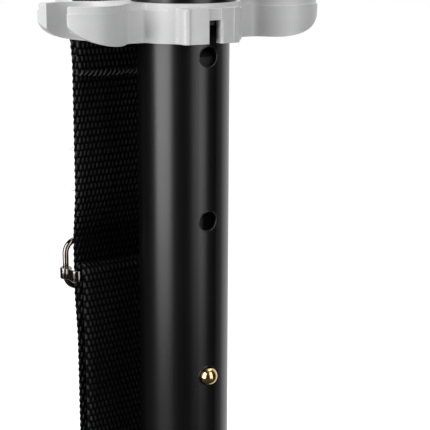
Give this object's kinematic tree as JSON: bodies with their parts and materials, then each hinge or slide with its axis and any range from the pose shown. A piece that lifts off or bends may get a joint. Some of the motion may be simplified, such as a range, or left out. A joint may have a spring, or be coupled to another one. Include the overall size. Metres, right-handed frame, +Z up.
{
  "type": "quad walking cane",
  "caption": "Height-adjustable walking cane with a bent handle, a clip collar, a webbing strap behind the shaft and a legged base with rubber tips.",
  "frame": {"origin": "on the floor, in the middle of the four tips, under the shaft's axis", "axes": "+Z up along the shaft; the button and its row of holes face -Y, the strap hangs on the +Y side, the two clips of the collar point to +X and -X"},
  "size_m": [0.174, 0.1985, 0.8229],
  "materials": {
    "black_tube": "satin black anodised tube",
    "inner_tube": "dark anodised tube",
    "dark_plastic": "matt black moulding",
    "grey_plastic": "light grey moulding, semi-gloss",
    "pin_steel": "bright pin",
    "webbing": "black woven webbing",
    "slider_metal": "dark nickel wire",
    "button_brass": "polished brass",
    "spring_steel": "spring steel strip",
    "grip_foam": "soft black foam",
    "base_steel": "black powder coat",
    "rivet_metal": "blackened rivet",
    "bolt_steel": "zinc-plated steel",
    "tip_rubber": "matt black rubber"
  },
  "bodies": {
    "foot": {"foot_tube": "inner_tube", "top_glide": "dark_plastic", "button_spring": "spring_steel", "base_stem": "base_steel", "base_bolt": "bolt_steel", "base_nut": "bolt_steel", "front_left_leg": "base_steel", "front_left_tip": "tip_rubber", "front_left_washer": "bolt_steel", "front_right_leg": "base_steel", "front_right_tip": "tip_rubber", "front_right_washer": "bolt_steel", "rear_left_leg": "base_steel", "rear_left_tip": "tip_rubber", "rear_left_washer": "bolt_steel", "rear_right_leg": "base_steel", "rear_right_tip": "tip_rubber", "rear_right_washer": "bolt_steel"},
    "shaft": {"handle_tube": "black_tube", "grip": "grip_foam", "grip_plug": "dark_plastic", "handle_rivets": "rivet_metal", "handle_sleeve": "dark_plastic", "shaft_tube": "black_tube", "clip_collar": "grey_plastic", "upper_strap_pin": "pin_steel", "strap": "webbing", "slider_frame": "slider_metal", "slider_bar": "slider_metal", "strap_anchor": "grey_plastic", "lower_strap_pin": "pin_steel", "split_bush": "dark_plastic"},
    "button": {"snap_button": "button_brass"},
    "nut": {"locking_nut": "grey_plastic"}
  },
  "joints": [
    {"name": "height_slide", "type": "slide", "parent": "foot", "child": "shaft", "axis": [0, 0, 1], "range_m": [-0.078, 0.156]},
    {"name": "button_press", "type": "slide", "parent": "foot", "child": "button", "axis": [0, 1, 0], "range_m": [0, 0.004], "stiffness_N_per_m": 900, "springref_m": -0.002, "deforming": ["button_spring"]},
    {"name": "nut_turn", "type": "hinge", "parent": "shaft", "child": "nut", "pos_m": [0, 0, 0.2015], "axis": [0, 0, 1], "range_deg": [0, 270]}
  ]
}
